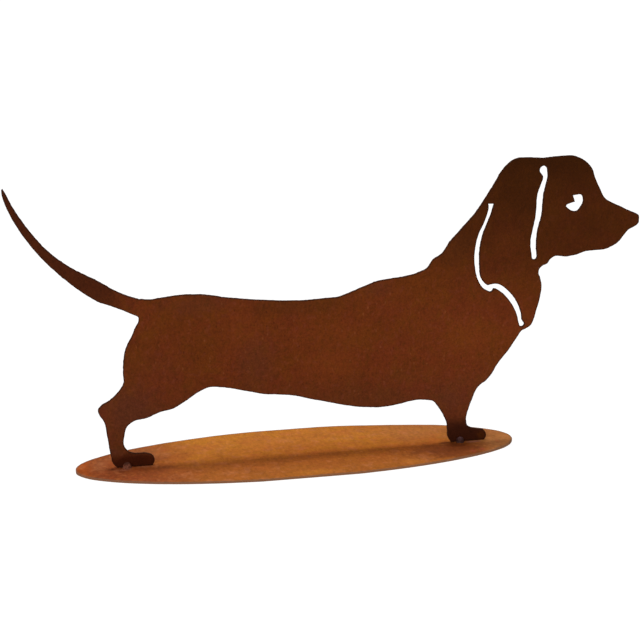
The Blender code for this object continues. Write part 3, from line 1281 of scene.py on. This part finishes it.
    def roughen(self, shape: BMesh) -> None:
        """Give the faces their relief, the walls their drag lines and the far edges their slag.

        Args:
            shape: The closed sheet, lying down.
        """
        distance = shape.verts.layers.float[EDGE_LAYER]
        outward = shape.verts.layers.float_vector[OUTWARD_LAYER]
        for point in shape.verts:
            near = point.co.z > -self.thickness / 2.0
            spot = Vector((point.co.x, point.co.y, 0.0 if near else self.far_side))
            if point[distance] > 0.0:
                rise = self.relief(spot)
            else:
                rise = 0.0
                point.co += point[outward] * self.drag.at(spot)
            lip = point[distance] < self.bead_reach and point.co.z < self.bead_start * -self.thickness
            if lip and not near:
                melt = self.bead.at(spot)
                rise += melt
                point.co += point[outward] * melt * self.bead_spread
            point.co.z += rise if near else -rise
            point.co.y -= (self.sole - self.seat) * (1.0 - self.above_foot(point.co.y))

    def relief(self, spot: Vector) -> float:
        """Height of the relief at a place on a face."""
        upright = Vector((spot.x, spot.y / self.run_length, spot.z))
        return self.roll.at(spot) + self.crust.at(spot) + self.run.at(upright)


@dataclass(frozen=True)
class EdgeBend:
    """A place where the plate's hand-cut edge leaves its true oval.

    Attributes:
        turn: Direction from the middle in degrees, on the oval seen as a circle.
        share: How far outside the oval the edge is there, as a share of the radius.
    """

    turn: float
    share: float


@dataclass
class OvalBase:
    """The oval plate, cut by hand.

    Attributes:
        edges: Points of its outline.
        cell: Width of the cells that carry its relief.
        bends: Where its edge leaves the oval, all the way round.
        wander: Furthest that the cut ran inside the oval.
        sway: Slow part of that wander, as a share of it.
        jitter: Quick part of it.
        burr: Share of the lower edge's rounding that the burr leaves.
        burr_start: Share of the thickness below which the burr begins.
        roll: The broad unevenness of its top.
        crust: The rust scale.
        drawn_out: How many times longer along X the relief of its top is.
        bite: The unevenness of its cut wall.
    """

    edges: int = 900
    cell: float = 2.0 * MM
    bends: tuple[EdgeBend, ...] = (
        EdgeBend(-180.0, 0.000), EdgeBend(-168.0, 0.013), EdgeBend(-156.0, 0.022), EdgeBend(-24.0, 0.022),
        EdgeBend(-12.0, 0.009), EdgeBend(0.0, 0.000), EdgeBend(26.0, -0.014), EdgeBend(45.0, -0.008),
        EdgeBend(55.0, -0.020), EdgeBend(66.0, -0.015), EdgeBend(76.0, 0.010), EdgeBend(106.0, 0.011),
        EdgeBend(119.0, -0.008), EdgeBend(132.0, -0.022), EdgeBend(156.0, -0.022), EdgeBend(180.0, 0.000),
    )
    wander: float = 0.22 * MM
    sway: Waves = Waves(9 * MM, 3.0, 2, 0.5)
    jitter: Waves = Waves(3 * MM, 8.0, 2, 0.3)
    burr: float = 0.12
    burr_start: float = 0.7
    roll: Waves = Waves(55 * MM, 1.0, 2, 0.12 * MM)
    crust: Waves = Waves(6 * MM, 6.0, 3, 0.10 * MM, -0.15)
    drawn_out: float = 2.5
    bite: Waves = Waves(2.4 * MM, 9.0, 2, 0.10 * MM)

    def __post_init__(self) -> None:
        """Take the plate's size from the frame."""
        low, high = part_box(Node.BASE.value)
        self.half_length = (high.x - low.x) / 2.0
        self.half_width = (high.y - low.y) / 2.0
        self.middle = (low + high) / 2.0
        self.top = high.z
        self.thickness = high.z - low.z

    def build(self, material: bpy.types.Material) -> bpy.types.Object:
        """Build the plate.

        Args:
            material: Its rust.

        Returns:
            The finished piece.
        """
        shape = bmesh.new()
        bmesh.ops.create_circle(shape, segments=self.edges, radius=1.0)
        for point in shape.verts:
            reach = 1.0 + self.bend(math.degrees(math.atan2(point.co.y, point.co.x)))
            place = point.co * reach
            point.co.x = min(max(place.x, -1.0), 1.0) * self.half_length
            point.co.y = min(max(place.y, -1.0), 1.0) * self.half_width
        sheet = CutSheet(
            thickness=self.thickness,
            cell=self.cell,
            longest_edge=2.0 * MM,
            edge_drop=0.42 * MM,
            rim=(
                RimStep(0.12 * MM, 0.20 * MM),
                RimStep(0.34 * MM, 0.06 * MM),
                RimStep(0.80 * MM, 0.0),
            ),
            wall_depths=(0.7 * MM,),
        )
        sheet.make(shape, self.torch_wander)
        self.roughen(shape)
        settle = Matrix.Translation((self.middle.x, self.middle.y, self.top))
        bmesh.ops.transform(shape, matrix=settle, verts=shape.verts)
        piece = add_piece("oval_base", shape, material)
        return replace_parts(piece, Node.BASE.value)

    def bend(self, turn: float) -> float:
        """How far outside the oval the edge is in a direction, as a share of the radius."""
        for start, end in zip(self.bends, self.bends[1:]):
            if start.turn <= turn <= end.turn:
                part = (turn - start.turn) / (end.turn - start.turn)
                return start.share + (end.share - start.share) * part
        return 0.0

    def torch_wander(self, place: Vector) -> float:
        """How far inside the line the cut ran at a place."""
        share = 0.5 + self.sway.at(place) + self.jitter.at(place)
        return self.wander * min(max(share, 0.0), 1.0)

    def roughen(self, shape: BMesh) -> None:
        """Give the top its relief and the wall its unevenness, and leave the underside flat.

        Args:
            shape: The closed plate, with its top at height zero.
        """
        distance = shape.verts.layers.float[EDGE_LAYER]
        outward = shape.verts.layers.float_vector[OUTWARD_LAYER]
        for point in shape.verts:
            spot = Vector((point.co.x, point.co.y, 0.0))
            if point.co.z < self.burr_start * -self.thickness:
                point.co.z = -self.thickness + (point.co.z + self.thickness) * self.burr
            if point[distance] == 0.0:
                point.co -= point[outward] * (0.5 * self.bite.height + self.bite.at(spot))
            elif point.co.z > -self.thickness / 2.0:
                drawn = Vector((spot.x / self.drawn_out, spot.y, 0.0))
                point.co.z += self.roll.at(drawn)
                point.co.z += self.crust.at(drawn)


@dataclass
class WeldTack:
    """A weld tack in the corner between the sheet and the base plate.

    Attributes:
        node: The solid that it stands for.
        name: The piece's name.
        crown: Way that its last-frozen crater faces.
        seed: Sets its lumps apart from the other tack's.
        ball: Size of its smooth ball, as a share of its room.
        ripple: Height of the frozen ripples, as a share of its size.
        ripples: How many ripples there are round the crater, per radian.
        crater: Depth of the crater, as a share of its size.
        crater_width: Half width of the crater in radians.
        lump: Depth of its unevenness, as a share of its size.
        lump_size: Size of its lumps, as a share of its size.
        foot: How far it spreads at its foot, as a share of its size.
        foot_height: Height of that foot, as a share of its size.
        sink: How far it reaches into the sheet and the plate, which it is fused to.
    """

    node: Node
    name: str
    crown: Vector
    seed: float
    ball: float = 0.98
    ripple: float = 0.035
    ripples: float = 13.0
    crater: float = 0.12
    crater_width: float = 0.22
    lump: float = 0.16
    lump_size: float = 0.7
    foot: float = 0.10
    foot_height: float = 0.16
    sink: float = 0.15 * MM

    def build(self, material: bpy.types.Material) -> bpy.types.Object:
        """Build the tack.

        Args:
            material: Its metal.

        Returns:
            The finished piece.
        """
        low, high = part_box(self.node.value)
        corner = weld_spot(self.node)
        reach = Vector(((high.x - low.x) / 2.0, corner.y - low.y, high.z - corner.z))
        shape = bmesh.new()
        bmesh.ops.create_uvsphere(shape, u_segments=72, v_segments=48, radius=1.0)
        for point in shape.verts:
            way = point.co.normalized()
            point.co = Vector((way.x * reach.x, way.y * reach.y, way.z * reach.z)) * self.swell(way)
        for facing in (Vector((0.0, 0.0, -1.0)), Vector((0.0, 1.0, 0.0))):
            trim(shape, facing * self.sink, facing)
        bmesh.ops.translate(shape, verts=shape.verts, vec=corner)
        bmesh.ops.recalc_face_normals(shape, faces=shape.faces)
        piece = add_piece(self.name, shape, material)
        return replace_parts(piece, self.node.value)

    def swell(self, way: Vector) -> float:
        """Size of the lump in a direction, as a share of its largest.

        Args:
            way: The direction.

        Returns:
            The share, which never passes one.
        """
        turn = way.angle(self.crown)
        ring = math.cos(turn * self.ripples) * self.ripple
        crater = self.crater * math.exp(-((turn / self.crater_width) ** 2))
        lumps = self.lump * (0.5 + Waves(self.lump_size, self.seed, 3, 0.5).at(way))
        foot = self.foot * max(0.0, 1.0 - abs(way.z) / self.foot_height)
        return min(1.0, self.ball - self.ripple + ring - crater - lumps + foot)


def weld_spot(node: Node) -> Vector:
    """Where a tack sits: on the plate's top, against the sheet's near face."""
    low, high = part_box(node.value)
    return Vector(((low.x + high.x) / 2.0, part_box(Node.DOG.value)[0].y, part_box(Node.BASE.value)[1].z))


def trim(shape: BMesh, place: Vector, facing: Vector) -> None:
    """Cut away what is beyond a plane, and close the cut.

    Args:
        shape: Mesh to trim.
        place: A point of the plane.
        facing: Direction that is cut away.
    """
    everything = shape.verts[:] + shape.edges[:] + shape.faces[:]
    cut = bmesh.ops.bisect_plane(shape, geom=everything, plane_co=place, plane_no=facing, clear_outer=True)
    rim = [item for item in cut["geom_cut"] if isinstance(item, BMEdge)]
    bmesh.ops.edgenet_fill(shape, edges=rim)


@dataclass(frozen=True)
class SoftSun:
    """A distant soft light.

    Attributes:
        name: Its name.
        azimuth: Where it stands round the object in degrees, 0 before the near face.
        elevation: Its height above the horizon in degrees.
        strength: Its strength.
        spread: Its apparent width in degrees, which softens shadows.
    """

    name: str
    azimuth: float
    elevation: float
    strength: float
    spread: float

    def build(self) -> None:
        """Add the light to the scene."""
        light = bpy.data.lights.new(self.name, "SUN")
        light.energy = self.strength
        light.angle = math.radians(self.spread)
        lamp = bpy.data.objects.new(self.name, light)
        lamp.rotation_euler = towards(self.azimuth, self.elevation).to_track_quat("Z", "Y").to_euler()
        bpy.context.scene.collection.objects.link(lamp)


def towards(azimuth: float, elevation: float) -> Vector:
    """Direction from the object to a place round it.

    Args:
        azimuth: Degrees round the object, 0 in front of the near face and rising to the right.
        elevation: Degrees above the horizon.

    Returns:
        The direction as a unit vector.
    """
    turn, lift = math.radians(azimuth), math.radians(elevation)
    return Vector((math.sin(turn) * math.cos(lift), -math.cos(turn) * math.cos(lift), math.sin(lift)))


@dataclass
class Studio:
    """Pale floor, soft light and the camera at the photograph's angle.

    Attributes:
        floor_half: Half the floor's width.
        floor_gap: How far below the base plate the floor lies.
        floor_tone: Colour of the floor.
        floor_roughness: Its roughness.
        floor_glow: Light that comes through the floor, a lit table.
        sky: Strength of the light from all round.
        suns: The soft lights.
        lens_mm: Focal length on the sensor.
        sensor_mm: Width of the sensor.
        azimuth: Camera's place round the object in degrees.
        elevation: Camera's height above the horizon in degrees.
        distance: Camera's distance from what it aims at.
        aim: What it aims at.
    """

    floor_half: float = 14.0
    floor_gap: float = 0.05 * MM
    floor_tone: Colour = (0.24, 0.24, 0.24, 1.0)
    floor_roughness: float = 0.9
    floor_glow: float = 0.82
    sky: float = 0.32
    suns: tuple[SoftSun, ...] = (
        SoftSun("overhead", 180.0, 86.0, 1.70, 11.0),
        SoftSun("back", 170.0, 52.0, 0.35, 30.0),
        SoftSun("front", -25.0, 24.0, 1.15, 40.0),
    )
    lens_mm: float = 85.0
    sensor_mm: float = 36.0
    azimuth: float = -11.8
    elevation: float = 16.7
    distance: float = 1.4245
    aim: Vector = Vector((0.02065, 0.0, 0.1332))

    def build(self) -> None:
        """Set up the floor, the light and the camera."""
        self.lay_floor()
        world = bpy.data.worlds.new("studio")
        world.use_nodes = True
        sky = world.node_tree.nodes["Background"]
        sky.inputs["Color"].default_value = (1.0, 1.0, 1.0, 1.0)
        sky.inputs["Strength"].default_value = self.sky
        bpy.context.scene.world = world
        for sun in self.suns:
            sun.build()
        self.place_camera()

    def lay_floor(self) -> None:
        """Lay the floor."""
        mesh = bpy.data.meshes.new("floor")
        shape = bmesh.new()
        bmesh.ops.create_grid(shape, x_segments=1, y_segments=1, size=self.floor_half)
        bmesh.ops.translate(shape, verts=shape.verts, vec=(0.0, 0.0, -self.floor_gap))
        shape.to_mesh(mesh)
        shape.free()
        recipe = Recipe("pale_floor")
        inputs = {
            "Base Color": self.floor_tone,
            "Roughness": self.floor_roughness,
            "Specular IOR Level": 0.0,
            "Emission Color": (1.0, 1.0, 1.0, 1.0),
            "Emission Strength": self.floor_glow,
        }
        shader = recipe.node("ShaderNodeBsdfPrincipled", inputs=inputs)
        recipe.node("ShaderNodeOutputMaterial", inputs={"Surface": shader.outputs["BSDF"]})
        mesh.materials.append(recipe.material)
        floor = bpy.data.objects.new("floor", mesh)
        bpy.context.scene.collection.objects.link(floor)

    def place_camera(self) -> None:
        """Place the camera."""
        view = bpy.data.cameras.new("camera")
        view.lens = self.lens_mm
        view.sensor_width = self.sensor_mm
        camera = bpy.data.objects.new("camera", view)
        away = towards(self.azimuth, self.elevation)
        camera.location = self.aim + away * self.distance
        camera.rotation_euler = (-away).to_track_quat("-Z", "Y").to_euler()
        bpy.context.scene.collection.objects.link(camera)
        bpy.context.scene.camera = camera


def main() -> None:
    """Build the pieces and the studio."""
    logging.basicConfig(level=logging.INFO, format="%(name)s: %(message)s")
    bpy.context.scene.view_settings.view_transform = "Standard"
    brown = WeldMetal("weld_brown", tone(134, 78, 56), tone(116, 60, 38), tone(78, 38, 24), tone(72, 36, 24))
    # The dark tack's last colour, for its crown, is a painted highlight
    dark = WeldMetal("weld_dark", tone(62, 31, 27), tone(52, 24, 18), tone(38, 15, 10), tone(82, 52, 54))
    DogSheet().build(FigureRust().material())
    OvalBase().build(BaseRust().material(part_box(Node.DOG.value)[0].y))
    WeldTack(Node.HIND_TACK, "hind_tack", Vector((0.25, -0.6, 0.75)), 1.0).build(brown.material())
    WeldTack(Node.FORE_TACK, "fore_tack", Vector((-0.2, -0.7, 0.7)), 6.0).build(dark.material())
    Studio().build()


if __name__ == "__main__":
    main()
